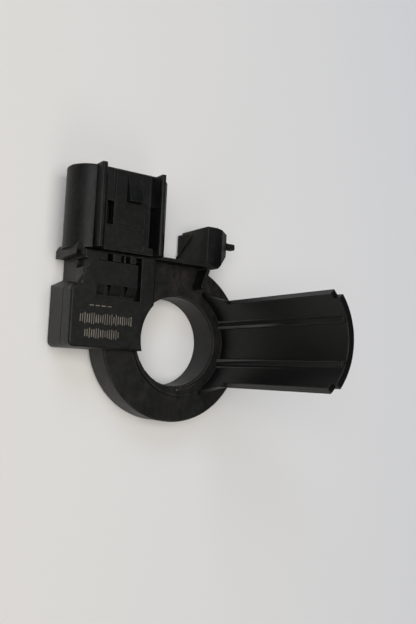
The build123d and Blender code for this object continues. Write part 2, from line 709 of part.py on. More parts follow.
def roof_slots():
    """Row of small notches in the rear edge of the roof's window."""
    slots = Part()
    front = WINDOW_FRONT_Y + WINDOW_DEPTH - FIT_GAP
    for offset_x, width in ROOF_SLOTS:
        x = WINDOW_LEFT_X + offset_x
        slots += block(
            x, x + width,
            front, front + ROOF_SLOT_LENGTH,
            BAY_TOP_Z - ROOF_SLOT_DEPTH, BAY_TOP_Z,
        )
    return slots


def collar(top):
    """Round collar, a little off the cable's axis, up to a height."""
    return disc(COLLAR_R, PARTING_Z, top, (COLLAR_SHIFT, 0))


def collar_lip():
    """Low lip along the collar's edge, which stops short of the arm."""
    top = COLLAR_TOP_Z + LIP_HEIGHT
    lip = collar(top) - disc(COLLAR_R - LIP_WIDTH, PARTING_Z, top, (COLLAR_SHIFT, 0))
    return lip - block(-RING_OUTER_R, RING_OUTER_R, LIP_END_Y, RING_OUTER_R, PARTING_Z, top)


def ring_lid():
    """Flat lid of the ring, with the raised collar and the tongue below it."""
    bore_r = APERTURE_R + LID_BORE_STEP
    lid = disc(RING_OUTER_R, PARTING_Z, RING_TOP_Z)
    rim = lid.edges().filter_by(GeomType.CIRCLE).sort_by(Axis.Z)[-1:]
    lid = chamfer(rim, (RING_TOP_Z - PARTING_Z) / 2)
    lid += collar(COLLAR_TOP_Z)
    land_rear = APERTURE_R + COLLAR_LAND_WIDTH
    lid += block(BAY_RIGHT_X - WALL, 0, COLLAR_LAND_Y, land_rear, PARTING_Z, COLLAR_TOP_Z)
    arm_front = RING_OUTER_R - ARM_THICKNESS + FIT_GAP
    lid += block(BAY_RIGHT_X - WALL, 0, COLLAR_LAND_Y, arm_front, PARTING_Z, RING_TOP_Z)
    lid += collar_lip()
    play = 2 * FIT_GAP
    tongue = tube(CHANNEL_INNER_R + play, CHANNEL_OUTER_R - play, CHANNEL_TOP_Z, PARTING_Z)
    hidden = prism(offset(upper_bay_outline(), amount=FIT_GAP), CHANNEL_TOP_Z, PARTING_Z)
    return lid + (tongue - hidden) - disc(bore_r, PARTING_Z, COLLAR_TOP_Z)


def make_cover():
    """Upper moulding: ring lid, bay shell, arm, tower and cable guide."""
    cover = ring_lid() + bay_shell() + arm() + make_tower()
    cover += guide_shell() + guide_ribs() + guide_wings()
    cover -= bay_cavity(PARTING_Z, ROOF_Z)
    cover -= block(*roof_window(), ROOF_Z, BAY_TOP_Z)
    cover -= roof_slots()
    recess_rear = BAY_REAR_Y - SIDE_RECESS_SETBACK
    cover -= block(
        SHOULDER_X, SHOULDER_X + SIDE_RECESS_DEPTH,
        recess_rear - SIDE_RECESS_WIDTH, recess_rear,
        PARTING_Z + FIT_GAP, BAY_TOP_Z,
    )
    cover -= carrier_neck(FIT_GAP)
    return cover - disc(APERTURE_R + LID_BORE_STEP, PARTING_Z, COLLAR_TOP_Z + LIP_HEIGHT)


def core_plan(z0, z1):
    """C-shaped ring of many short sides, with its gap turned to the bay."""
    outside = RegularPolygon(CORE_OUTER_R, CORE_SIDES)
    inside = RegularPolygon(CORE_INNER_R, CORE_SIDES, major_radius=False)
    gap = block(0, RING_OUTER_R, -CORE_GAP / 2, CORE_GAP / 2, z0, z1)
    return at_gap(prism(outside - inside, z0, z1) - gap)


def make_sheets():
    """Stampings of the core, one above the other."""
    sheets = []
    for index in range(SHEET_COUNT):
        bottom = CORE_BOTTOM_Z + index * SHEET_THICKNESS
        sheets.append(core_plan(bottom, bottom + SHEET_THICKNESS))
    return sheets


def make_hall_body():
    """Hall sensor's moulded body, with one bevelled face."""
    body = block(
        HALL_R - HALL_WIDTH / 2, HALL_R + HALL_WIDTH / 2,
        -HALL_THICKNESS / 2, HALL_THICKNESS / 2,
        HALL_BOTTOM_Z, HALL_BOTTOM_Z + HALL_HEIGHT,
    )
    upright = body.edges().filter_by(Axis.Z).sort_by(Axis.Y)[-2:]
    return at_gap(chamfer(upright, HALL_THICKNESS / 3))


def hall_lead_places():
    """Distances of the Hall sensor's leads from the cable axis."""
    first = HALL_R - HALL_LEAD_PITCH * (HALL_LEAD_COUNT - 1) / 2
    return [first + index * HALL_LEAD_PITCH for index in range(HALL_LEAD_COUNT)]


def hall_lead_set(size, z0, z1):
    """Square bars at the Hall sensor's lead places."""
    bars = Part()
    for place in hall_lead_places():
        bars += block(place - size / 2, place + size / 2, -size / 2, size / 2, z0, z1)
    return at_gap(bars)


def make_hall_leads():
    """Leads that run from the Hall sensor up through the board."""
    return hall_lead_set(HALL_LEAD, HALL_BOTTOM_Z + HALL_HEIGHT, BOARD_TOP_Z + POST_HEAD_HEIGHT)


def terminal_places():
    """X places of the terminals, centred in the shroud."""
    first = SHROUD_CENTRE_X - TERMINAL_PITCH * (TERMINAL_COUNT - 1) / 2
    return [first + index * TERMINAL_PITCH for index in range(TERMINAL_COUNT)]


def make_terminal(x):
    """Blade with a pointed tip and a tail that turns up through the board."""
    half = TERMINAL_WIDTH / 2
    top = TERMINAL_BOTTOM_Z + TERMINAL_THICKNESS
    blade = block(x - half, x + half, TERMINAL_TAIL_Y, TERMINAL_TIP_Y, TERMINAL_BOTTOM_Z, top)
    tip = blade.edges().filter_by(Axis.Z).sort_by(Axis.Y)[-2:]
    blade = chamfer(tip, TERMINAL_POINT, TERMINAL_WIDTH / 4)
    pin_half = TERMINAL_THICKNESS / 2
    pin = block(
        x - pin_half, x + pin_half,
        TERMINAL_TAIL_Y, TERMINAL_TAIL_Y + TERMINAL_THICKNESS,
        TERMINAL_BOTTOM_Z, BOARD_TOP_Z + TERMINAL_PIN_RISE,
    )
    return blade + pin


def make_carrier():
    """Pre-moulded block round the terminals, seen through the roof's window."""
    x0, x1, y0, y1 = roof_window()
    x0 += FIT_GAP
    x1 -= CARRIER_SIDE_GAP
    y0 += FIT_GAP
    y1 -= FIT_GAP
    slope_end = y0 + CARRIER_LIP + CARRIER_SLOPE
    side = make_face(
        Polyline(
            (y0, CHANNEL_TOP_Z),
            (y1, CHANNEL_TOP_Z),
            (y1, CARRIER_TOP_Z),
            (slope_end, CARRIER_TOP_Z),
            (y0 + CARRIER_LIP, CARRIER_LIP_Z),
            (y0, CARRIER_LIP_Z),
            close=True,
        )
    )
    body = extrude(Plane.YZ.offset(x0) * side, amount=x1 - x0) + carrier_neck(0)
    for offset_x in PIT_OFFSETS:
        x = WINDOW_LEFT_X + offset_x
        body -= block(
            x - PIT_WIDTH / 2, x + PIT_WIDTH / 2,
            y0 + CARRIER_LIP, slope_end,
            CARRIER_TOP_Z - PIT_DROP, CARRIER_TOP_Z,
        )
    for x in terminal_places():
        body -= make_terminal(x)
    return body


def make_board():
    """Circuit board, cut round the ring's collar and drilled for its parts."""
    gap = WALL + BOARD_MARGIN
    board = block(
        BAY_LEFT_X + gap, BAY_RIGHT_X,
        BAY_FRONT_Y + gap, BOARD_REAR_Y,
        BOARD_Z, BOARD_TOP_Z,
    )
    board -= disc(BAY_ARC_R + gap, BOARD_Z, BOARD_TOP_Z)
    board -= block(BAY_RIGHT_X - gap, BAY_RIGHT_X, BAY_FRONT_Y, BOARD_REAR_Y, BOARD_Z, BOARD_TOP_Z)
    for place in post_places():
        board -= disc(POST_PEG_R + HOLE_CLEARANCE, BOARD_Z, BOARD_TOP_Z, place)
    board -= hall_lead_set(HALL_LEAD + 2 * HOLE_CLEARANCE, BOARD_Z, BOARD_TOP_Z)
    hole_r = TERMINAL_THICKNESS / sqrt(2) + HOLE_CLEARANCE
    for x in terminal_places():
        centre = (x, TERMINAL_TAIL_Y + TERMINAL_THICKNESS / 2)
        board -= disc(hole_r, BOARD_Z, BOARD_TOP_Z, centre)
    return board


def on_board(place):
    """X and Y of a place measured from the bay's left front corner."""
    return BAY_LEFT_X + place[0], BAY_FRONT_Y + place[1]


def make_chip_body():
    """Moulded body of the signal chip."""
    bottom = BOARD_TOP_Z + CHIP_STANDOFF
    x, y = on_board(CHIP_PLACE)
    return block(
        x - CHIP_LENGTH / 2, x + CHIP_LENGTH / 2,
        y - CHIP_WIDTH / 2, y + CHIP_WIDTH / 2,
        bottom, bottom + CHIP_HEIGHT,
    )


def make_chip_leads():
    """Gull-wing leads along both long sides of the signal chip."""
    edge = CHIP_WIDTH / 2
    knee = edge + CHIP_LEAD_REACH / 2
    toe = edge + CHIP_LEAD_REACH
    shoulder = BOARD_TOP_Z + CHIP_STANDOFF + CHIP_HEIGHT / 2
    path = Polyline(
        (edge, shoulder),
        (knee, shoulder),
        (knee, BOARD_TOP_Z + CHIP_LEAD_THICKNESS),
        (knee, BOARD_TOP_Z),
        (toe, BOARD_TOP_Z),
        (toe, BOARD_TOP_Z + CHIP_LEAD_THICKNESS),
        (knee + CHIP_LEAD_THICKNESS, BOARD_TOP_Z + CHIP_LEAD_THICKNESS),
        (knee + CHIP_LEAD_THICKNESS, shoulder + CHIP_LEAD_THICKNESS),
        (edge, shoulder + CHIP_LEAD_THICKNESS),
        close=True,
    )
    lead = extrude(Plane.YZ * make_face(path), amount=CHIP_LEAD_WIDTH / 2, both=True)
    leads = Part()
    chip_x, chip_y = on_board(CHIP_PLACE)
    first = chip_x - CHIP_LEAD_PITCH * (CHIP_LEAD_COUNT - 1) / 2
    for index in range(CHIP_LEAD_COUNT):
        x = first + index * CHIP_LEAD_PITCH
        leads += Pos(x, chip_y, 0) * lead
        leads += Pos(x, chip_y, 0) * mirror(lead, Plane.XZ)
    return leads


def make_chip_part(size, place):
    """Two-ended chip part: a body between two slightly thicker end caps."""
    length, width, height = size
    x, y = on_board(place)
    body = block(
        x - length / 2 + END_CAP / 2, x + length / 2 - END_CAP / 2,
        y - width / 2 + END_CAP_STEP, y + width / 2 - END_CAP_STEP,
        BOARD_TOP_Z + END_CAP_STEP, BOARD_TOP_Z + height - END_CAP_STEP,
    )
    for side in (-1, 1):
        near, far = sorted((x + side * length / 2, x + side * (length / 2 - END_CAP)))
        body += block(near, far, y - width / 2, y + width / 2, BOARD_TOP_Z, BOARD_TOP_Z + height)
    return body


def save(shape, node):
    """Writes one node's solid to its file."""
    export_step(shape, f"parts/{node}.step")


def main():
    """Builds and writes every node."""
    os.makedirs("parts", exist_ok=True)
    save(make_housing(), "housing")
    save(make_cover(), "cover")
    save(core_plan(FLOOR, CORE_BOTTOM_Z), "lower_core_pad")
    for number, sheet in enumerate(make_sheets(), start=1):
        save(sheet, f"core_sheet_{number}")
    save(core_plan(CORE_TOP_Z, CHANNEL_TOP_Z), "upper_core_pad")
    save(make_hall_body(), "hall_sensor")
    save(make_hall_leads(), "hall_sensor_leads")
    save(make_board(), "circuit_board")
    save(make_chip_body(), "signal_chip")
    save(make_chip_leads(), "signal_chip_leads")
    for number, place in enumerate(CAPACITOR_PLACES, start=1):
        save(make_chip_part(CAPACITOR_SIZE, place), f"capacitor_{number}")
    for number, place in enumerate(RESISTOR_PLACES, start=1):
        save(make_chip_part(RESISTOR_SIZE, place), f"resistor_{number}")
    save(make_carrier(), "terminal_carrier")
    for number, x in enumerate(terminal_places(), start=1):
        save(make_terminal(x), f"terminal_{number}")


main()
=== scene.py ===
"""Battery current sensor: finishes, fine geometry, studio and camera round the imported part.

Lengths are written in millimetres and turned to metres where a mesh is made.
The cable's axis is Z, the connector opens towards +Y and the cable guide stands on the +X side.
"""

from __future__ import annotations

import logging
import math
from dataclasses import dataclass, field
from enum import Enum
from typing import Any, Iterable, Mapping

import bmesh
import bpy
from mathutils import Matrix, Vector, geometry
from mathutils.bvhtree import BVHTree

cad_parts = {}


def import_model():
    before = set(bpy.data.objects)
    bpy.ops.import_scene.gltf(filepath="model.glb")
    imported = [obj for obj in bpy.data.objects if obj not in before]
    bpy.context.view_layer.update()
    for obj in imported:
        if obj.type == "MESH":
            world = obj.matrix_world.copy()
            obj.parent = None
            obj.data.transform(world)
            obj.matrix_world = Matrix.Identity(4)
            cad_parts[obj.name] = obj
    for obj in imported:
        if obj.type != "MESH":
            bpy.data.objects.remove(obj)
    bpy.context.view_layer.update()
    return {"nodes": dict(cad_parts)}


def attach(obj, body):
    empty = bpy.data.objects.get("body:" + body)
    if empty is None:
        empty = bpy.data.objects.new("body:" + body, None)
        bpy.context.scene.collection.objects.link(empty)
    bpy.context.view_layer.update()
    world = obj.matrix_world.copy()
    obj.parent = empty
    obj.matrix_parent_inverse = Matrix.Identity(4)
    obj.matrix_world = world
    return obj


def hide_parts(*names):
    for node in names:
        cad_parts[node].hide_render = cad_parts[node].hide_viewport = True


LOG = logging.getLogger("current_sensor")
MM = 0.001
BODY = "root"
# A height in millimetres that is clear above the part.
CLEAR_HEIGHT = 100.0

# Where a node's sockets share their names, they go by number. The operands of a Math node are 0
# and 1, and those of the Mix and Random Value nodes are named here.
FACTOR = 0
FIRST_SHADER = 1
SECOND_SHADER = 2
FIRST_NUMBER = 2
SECOND_NUMBER = 3
FIRST_COLOUR = 6
SECOND_COLOUR = 7
MIXED_NUMBER = 0
MIXED_COLOUR = 2
LOWEST_VECTOR = 0
HIGHEST_VECTOR = 1
LOWEST_NUMBER = 2
HIGHEST_NUMBER = 3
SEED = 8
RANDOM_NUMBER = 1

Tree = bpy.types.NodeTree
Socket = bpy.types.NodeSocket
Triple = tuple[float, float, float]
Nodes = Mapping[str, bpy.types.Object]


class Slot(Enum):
    """The record's material slots for the housing and the cover."""

    HOUSING = "housing_plastic"
    COVER = "cover_plastic"


class Kind(Enum):
    """The socket types that a Geometry Nodes tree takes in."""

    NUMBER = "NodeSocketFloat"
    COUNT = "NodeSocketInt"
    PLACE = "NodeSocketVector"
    FINISH = "NodeSocketMaterial"


@dataclass(frozen=True)
class Span:
    """A range of values, and the range that it is mapped onto."""

    low: float
    high: float
    start: float = 0.0
    end: float = 1.0

    def values(self) -> dict[str, float]:
        """Gives the span under the names that a Map Range node has for it."""
        return {"From Min": self.low, "From Max": self.high, "To Min": self.start, "To Max": self.end}


@dataclass(frozen=True)
class Pattern:
    """A cloudy pattern: its features' size in millimetres, and how it breaks up within them."""

    size: float
    detail: float = 2.0
    roughness: float = 0.5

    def values(self) -> dict[str, float]:
        """Gives the pattern under the names that a Noise Texture node has for it."""
        return {"Scale": 1 / self.size, "Detail": self.detail, "Roughness": self.roughness}


def linear(hex_colour: str) -> tuple[float, float, float, float]:
    """Turns an sRGB hex value into linear RGBA.

    Args:
        hex_colour: A value such as "#1c1e21".

    Returns:
        Linear red, green and blue, and an alpha of 1.
    """
    digits = hex_colour.lstrip("#")
    channels = [int(digits[i : i + 2], 16) / 255 for i in (0, 2, 4)]
    return tuple(c / 12.92 if c <= 0.04045 else ((c + 0.055) / 1.055) ** 2.4 for c in channels) + (1.0,)


def add_node(
    tree: Tree,
    kind: str,
    values: Mapping[str | int, Any] | None = None,
    links: Mapping[str | int, Socket] | None = None,
    **settings: Any,
) -> bpy.types.Node:
    """Adds a node with its settings, input values and links.

    Args:
        tree: The tree that gets the node.
        kind: The node's Blender type.
        values: Input values by name or number.
        links: Output sockets that feed the inputs, by name or number.
        **settings: Properties of the node itself.

    Returns:
        The new node.
    """
    node = tree.nodes.new(kind)
    for name, value in settings.items():
        setattr(node, name, value)
    for key, value in (values or {}).items():
        node.inputs[key].default_value = value
    for key, socket in (links or {}).items():
        tree.links.new(socket, node.inputs[key])
    return node


def blank_material(name: str) -> tuple[bpy.types.Material, Tree]:
    """Makes an empty node material.

    Args:
        name: The material's name.

    Returns:
        The material and its tree.
    """
    material = bpy.data.materials.new(name)
    material.use_nodes = True
    material.node_tree.nodes.clear()
    return material, material.node_tree


def object_coordinates(tree: Tree) -> Socket:
    """Gives the piece's own coordinates, in millimetres.

    Args:
        tree: The material's tree.

    Returns:
        The coordinates' socket.
    """
    place = add_node(tree, "ShaderNodeTexCoord")
    scaled = add_node(
        tree,
        "ShaderNodeVectorMath",
        {1: (1 / MM, 1 / MM, 1 / MM)},
        {0: place.outputs["Object"]},
        operation="MULTIPLY",
    )
    return scaled.outputs[0]


def where_all(tree: Tree, conditions: Iterable[tuple[Socket, Span]]) -> Socket:
    """Makes a mask that shows fully only where every value has passed its span.

    Args:
        tree: The material's tree.
        conditions: Each value's socket, with the span over which its share in the mask changes.

    Returns:
        The mask's socket.
    """
    mask = None
    for value, span in conditions:
        share = add_node(tree, "ShaderNodeMapRange", span.values(), {"Value": value}).outputs[0]
        if mask is None:
            mask = share
            continue
        mask = add_node(tree, "ShaderNodeMath", links={0: mask, 1: share}, operation="MULTIPLY").outputs[0]
    return mask


# Black glass-filled PBT from a spark-eroded mould. The eye gets a satin black that is never quite
# even: cloudy glass haze, faint flow lines and shallow sink marks, paler corners that are partly
# rubbed and partly a painted highlight, a few specks of dust, a brown tint low down that is painted
# warm reflection, and a darker guide, where shade is painted in.
@dataclass(frozen=True)
class MouldedPlastic:
    """Black glass-filled PBT with a satin skin, worn a little by use, with painted shade, highlight and warm
    reflection in its colour.
    """

    name: str
    shade: str = "#070808"
    haze: str = "#1b1c1a"
    bloom: str = "#1f2020"
    # Painted warm reflection: a brown tint on the low faces.
    warm_reflection: str = "#27231e"
    # Paler corners: partly wear, partly a painted highlight along the edges.
    rubbed_and_highlight: str = "#3c3b39"
    dust: str = "#6d6962"
    # Plain PBT has 1.55. The matt skin throws less light back, so it is matched lower.
    ior: float = 1.34
    gloss: tuple[float, float] = (0.42, 0.56)
    guide_gloss: float = 0.42

    cloud: Pattern = Pattern(9.0, 4.0, 0.6)
    flow: Pattern = Pattern(1.6, 5.0, 0.62)
    flow_run: Triple = (0.8, 0.45, 0.6)
    mottle: Pattern = Pattern(1.3, 3.0, 0.6)
    # The eroded grain is really about 0.05 mm across. It is drawn at 0.28 mm, so that it shows.
    grain: Pattern = Pattern(0.28, 2.0, 0.55)
    grain_depth: float = 0.012
    grain_strength: float = 0.5
    sink: Pattern = Pattern(5.5, 1.0)
    sink_depth: float = 0.035
    # The specks of dust are really finer. They are drawn about 0.15 mm across, so that they show.
    specks_per_mm: float = 0.9
    speck_edge: Span = Span(0.10, 0.05)
    speck_places: Span = Span(0.58, 0.66, 0.0, 0.55)

    haze_cloud: Span = Span(0.4, 0.7)
    flow_reach: tuple[float, float] = (0.3, 0.7)
    bloom_patches: Span = Span(0.48, 0.72, 0.0, 0.6)
    # Where the guide's colour gets painted shade and its roughness is even.
    guide_height: Span = Span(11.0, 16.0)
    guide_side: Span = Span(18.0, 15.0)
    guide_front: Span = Span(0.0, 5.0)
    # Where the low faces get the painted warm reflection, in patches and stronger towards +Y.
    warm_reflection_height: Span = Span(10.6, 9.4)
    warm_reflection_rear: Span = Span(-8.0, 10.0, 0.25, 1.0)
    warm_reflection_patches: Span = Span(0.45, 0.62)
    edge_width: float = 0.35
    edge_turn: Span = Span(0.995, 0.9, 0.0, 0.85)
    edge_open: Span = Span(0.7, 0.95)
    edge_patches: Span = Span(0.3, 0.6)
    edge_samples: int = 4

    def build(self) -> bpy.types.Material:
        """Makes the material.

        Returns:
            The new material.
        """
        material, tree = blank_material(self.name)
        place = object_coordinates(tree)
        run = add_node(tree, "ShaderNodeVectorMath", {1: self.flow_run}, {0: place}, operation="MULTIPLY")
        along = {"Vector": run.outputs[0]}
        flow = add_node(tree, "ShaderNodeTexNoise", self.flow.values(), along).outputs["Fac"]
        cloud = add_node(tree, "ShaderNodeTexNoise", self.cloud.values(), {"Vector": place}).outputs["Fac"]
        mottle = add_node(tree, "ShaderNodeTexNoise", self.mottle.values(), {"Vector": place}).outputs["Fac"]
        guide = self.guide_shade_mask(tree, place)
        coats = (
            (self.haze, where_all(tree, ((cloud, self.haze_cloud), (flow, Span(*self.flow_reach))))),
            (self.bloom, where_all(tree, ((mottle, self.bloom_patches),))),
            # Painted shade: on the guide the haze and bloom give way to the bare dark shade.
            (self.shade, guide),
            # Painted warm reflection: a brown tint on the low faces.
            (self.warm_reflection, self.warm_reflection_mask(tree, place, flow)),
            # Paler corners: wear, and a painted highlight along the edges.
            (self.rubbed_and_highlight, self.worn_and_highlit_edge_mask(tree, flow)),
            (self.dust, self.dust_mask(tree, place, cloud)),
        )
        shader = add_node(
            tree,
            "ShaderNodeBsdfPrincipled",
            {"IOR": self.ior},
            {
                "Base Color": self.coated(tree, coats),
                "Roughness": self.dulled(tree, flow, guide),
                "Normal": self.embossed(tree, place),
            },
        )
        add_node(tree, "ShaderNodeOutputMaterial", links={"Surface": shader.outputs[0]})
        return material

    def coated(self, tree: Tree, coats: Iterable[tuple[str, Socket]]) -> Socket:
        """Lays thin coats of colour over the plastic's own shade.

        Args:
            tree: The material's tree.
            coats: Each coat's sRGB hex colour and mask, the lowest first.

        Returns:
            The colour's socket.
        """
        base = add_node(tree, "ShaderNodeRGB")
        base.outputs[0].default_value = linear(self.shade)
        colour = base.outputs[0]
        for tint, mask in coats:
            mix = add_node(
                tree,
                "ShaderNodeMix",
                {SECOND_COLOUR: linear(tint)},
                {FACTOR: mask, FIRST_COLOUR: colour},
                data_type="RGBA",
            )
            colour = mix.outputs[MIXED_COLOUR]
        return colour

    def dulled(self, tree: Tree, flow: Socket, guide: Socket) -> Socket:
        """Gives the roughness, which follows the flow lines and is even on the guide.

        Args:
            tree: The material's tree.
            flow: The flow lines' socket.
            guide: The guide's mask.

        Returns:
            The roughness's socket.
        """
        gloss = Span(*self.flow_reach, *self.gloss)
        uneven = add_node(tree, "ShaderNodeMapRange", gloss.values(), {"Value": flow})
        mix = add_node(
            tree,
            "ShaderNodeMix",
            {SECOND_NUMBER: self.guide_gloss},
            {FACTOR: guide, FIRST_NUMBER: uneven.outputs[0]},
            data_type="FLOAT",
        )
        return mix.outputs[MIXED_NUMBER]

    def embossed(self, tree: Tree, place: Socket) -> Socket:
        """Gives the normal, with shallow sink marks under a fine grain.

        Args:
            tree: The material's tree.
            place: The piece's coordinates.

        Returns:
            The normal's socket.
        """
        sink = add_node(tree, "ShaderNodeTexNoise", self.sink.values(), {"Vector": place})
        grain = add_node(tree, "ShaderNodeTexNoise", self.grain.values(), {"Vector": place})
        sinks = add_node(
            tree,
            "ShaderNodeBump",
            {"Strength": 1.0, "Distance": self.sink_depth * MM},
            {"Height": sink.outputs["Fac"]},
        )
        bump = add_node(
            tree,
            "ShaderNodeBump",
            {"Strength": self.grain_strength, "Distance": self.grain_depth * MM},
            {"Height": grain.outputs["Fac"], "Normal": sinks.outputs[0]},
        )
        return bump.outputs[0]

    def guide_shade_mask(self, tree: Tree, place: Socket) -> Socket:
        """Marks the upper part of the cable guide, where the colour is held at the bare dark shade as painted
        shade, and the roughness is even.

        Args:
            tree: The material's tree.
            place: The piece's coordinates.

        Returns:
            The mask's socket.
        """
        axes = add_node(tree, "ShaderNodeSeparateXYZ", links={0: place}).outputs
        side = add_node(tree, "ShaderNodeMath", links={0: axes["Y"]}, operation="ABSOLUTE").outputs[0]
        spans = ((axes["Z"], self.guide_height), (side, self.guide_side), (axes["X"], self.guide_front))
        return where_all(tree, spans)

    def warm_reflection_mask(self, tree: Tree, place: Socket, flow: Socket) -> Socket:
        """Marks patches of the low faces, up to the ring's lid, which get a brown tint: painted warm
        reflection, stronger towards +Y.

        Args:
            tree: The material's tree.
            place: The piece's coordinates.
            flow: The flow lines' socket.

        Returns:
            The mask's socket.
        """
        axes = add_node(tree, "ShaderNodeSeparateXYZ", links={0: place}).outputs
        spans = ((axes["Z"], self.warm_reflection_height), (axes["Y"], self.warm_reflection_rear), (flow, self.warm_reflection_patches))
        return where_all(tree, spans)

    def worn_and_highlit_edge_mask(self, tree: Tree, flow: Socket) -> Socket:
        """Marks the outward corners, which are paler: partly wear from handling, partly a painted highlight
        along the edges.

        Args:
            tree: The material's tree.
            flow: The flow lines' socket.

        Returns:
            The mask's socket.
        """
        width = self.edge_width * MM
        rounded = add_node(tree, "ShaderNodeBevel", {"Radius": width}, samples=self.edge_samples)
        true_face = add_node(tree, "ShaderNodeNewGeometry")
        turn = add_node(
            tree,
            "ShaderNodeVectorMath",
            links={0: rounded.outputs[0], 1: true_face.outputs["Normal"]},
            operation="DOT_PRODUCT",
        ).outputs["Value"]
        hollow = add_node(
            tree, "ShaderNodeAmbientOcclusion", {"Distance": 2 * width}, samples=self.edge_samples
        ).outputs["AO"]
        return where_all(tree, ((turn, self.edge_turn), (hollow, self.edge_open), (flow, self.edge_patches)))

    def dust_mask(self, tree: Tree, place: Socket, cloud: Socket) -> Socket:
        """Marks a few specks of pale dust.

        Args:
            tree: The material's tree.
            place: The piece's coordinates.
            cloud: The cloudy pattern that gathers the specks.

        Returns:
            The mask's socket.
        """
        cells = add_node(
            tree, "ShaderNodeTexVoronoi", {"Scale": self.specks_per_mm, "Randomness": 1.0}, {"Vector": place}
        )
        return where_all(tree, ((cells.outputs["Distance"], self.speck_edge), (cloud, self.speck_places)))


@dataclass(frozen=True)
class PlainFinish:
    """A small inner part's surface: one colour with cloudy variation, a grain and its own gloss."""

    name: str
    shade: str
    tint: str
    gloss: tuple[float, float]
    grain_size: float
    grain_depth: float
    grain_run: Triple = (1.0, 1.0, 1.0)
    grain_detail: float = 3.0
    grain_roughness: float = 0.6
    grain_strength: float = 0.6
    gloss_reach: tuple[float, float] = (0.3, 0.7)
    cloud: Pattern = Pattern(2.5, 3.0)
    tint_patches: Span = Span(0.35, 0.65)
    metallic: float = 0.0
    ior: float = 1.5

    def build(self) -> bpy.types.Material:
        """Makes the material.

        Returns:
            The new material.
        """
        material, tree = blank_material(self.name)
        place = object_coordinates(tree)
        run = add_node(tree, "ShaderNodeVectorMath", {1: self.grain_run}, {0: place}, operation="MULTIPLY")
        along = {"Vector": run.outputs[0]}
        pattern = Pattern(self.grain_size, self.grain_detail, self.grain_roughness)
        grain = add_node(tree, "ShaderNodeTexNoise", pattern.values(), along).outputs["Fac"]
        cloud = add_node(tree, "ShaderNodeTexNoise", self.cloud.values(), {"Vector": place}).outputs["Fac"]
        colour = add_node(
            tree,
            "ShaderNodeMix",
            {FIRST_COLOUR: linear(self.shade), SECOND_COLOUR: linear(self.tint)},
            {FACTOR: where_all(tree, ((cloud, self.tint_patches),))},
            data_type="RGBA",
        )
        gloss = Span(*self.gloss_reach, *self.gloss)
        uneven = add_node(tree, "ShaderNodeMapRange", gloss.values(), {"Value": grain})
        bump = add_node(
            tree,
            "ShaderNodeBump",
            {"Strength": self.grain_strength, "Distance": self.grain_depth * MM},
            {"Height": grain},
        )
        shader = add_node(
            tree,
            "ShaderNodeBsdfPrincipled",
            {"IOR": self.ior, "Metallic": self.metallic},
            {
                "Base Color": colour.outputs[MIXED_COLOUR],
                "Roughness": uneven.outputs[0],
                "Normal": bump.outputs[0],
            },
        )
        add_node(tree, "ShaderNodeOutputMaterial", links={"Surface": shader.outputs[0]})
        return material


def dress(node: bpy.types.Object, material: bpy.types.Material) -> None:
    """Gives a CAD node's object its material in every slot.

    Args:
        node: The CAD node's object.
        material: The material.
    """
    slots = node.data.materials
    if not slots:
        slots.append(material)
    for number in range(len(slots)):
        slots[number] = material
    LOG.info("%s: %s", node.name, material.name)


def seat(piece: bpy.types.Object) -> None:
    """Lets a new piece ride with the part.

    Args:
        piece: The piece.
    """
    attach(piece, BODY)
    LOG.info("%s: %d faces", piece.name, len(piece.data.polygons))


def top_of(node: bpy.types.Object, place: tuple[float, float]) -> float:
    """Finds how high a CAD node stands at a place.

    Args:
        node: The CAD node's object.
        place: The place's x and y in millimetres.

    Returns:
        The height of its highest face there, in metres.
    """
    corners = [vertex.co for vertex in node.data.vertices]
    faces = BVHTree.FromPolygons(corners, [face.vertices for face in node.data.polygons])
    above = Vector((*place, CLEAR_HEIGHT)) * MM
    return faces.ray_cast(above, Vector((0.0, 0.0, -1.0)))[0].z


def new_piece(name: str, mesh: bpy.types.Mesh, material: bpy.types.Material) -> bpy.types.Object:
    """Links a mesh as an object at the origin with one material.

    Args:
        name: The object's name.
        mesh: Its mesh.
        material: Its material.

    Returns:
        The object.
    """
    mesh.materials.clear()
    mesh.materials.append(material)
    piece = bpy.data.objects.new(name, mesh)
    bpy.context.scene.collection.objects.link(piece)
    return piece


def baked(host: bpy.types.Object) -> bpy.types.Mesh:
    """Turns a helper object and its modifiers into a plain mesh, and removes the object.

    Args:
        host: The helper object, which has its modifiers.

    Returns:
        The mesh, with nothing left that made it.
    """
    graph = bpy.context.evaluated_depsgraph_get()
    mesh = bpy.data.meshes.new_from_object(host.evaluated_get(graph), depsgraph=graph)
    host.modifiers.clear()
    bpy.data.objects.remove(host)
    return mesh


def patch_areas(shape: bmesh.types.BMesh, flat_below: float) -> list[float]:
    """Gives for each face the area of the flat patch that it is part of.

    Args:
        shape: The mesh.
        flat_below: The largest angle inside one flat patch, in radians.

    Returns:
        The areas in square metres, in the order of the faces.
    """
    areas = [0.0] * len(shape.faces)
    seen: set[int] = set()
    for first in shape.faces:
        if first.index in seen:
            continue
        seen.add(first.index)
        patch = [first]
        for face in patch:
            for edge in face.edges:
                if not edge.is_manifold or edge.calc_face_angle() > flat_below:
                    continue
                for other in edge.link_faces:
                    if other.index not in seen:
                        seen.add(other.index)
                        patch.append(other)
        whole = sum(face.calc_area() for face in patch)
        for face in patch:
            areas[face.index] = whole
    return areas


def smooth_fan(face: bmesh.types.BMFace, corner: bmesh.types.BMVert) -> list[bmesh.types.BMFace]:
    """Lists the faces round a corner that a face reaches without crossing a sharp edge.

    Args:
        face: The face to start from.
        corner: One of its corners.

    Returns:
        The faces, the first one included.
    """
    fan = [face]
    for member in fan:
        for edge in member.edges:
            if corner not in edge.verts or not edge.smooth:
                continue
            fan.extend(other for other in edge.link_faces if other not in fan)
    return fan


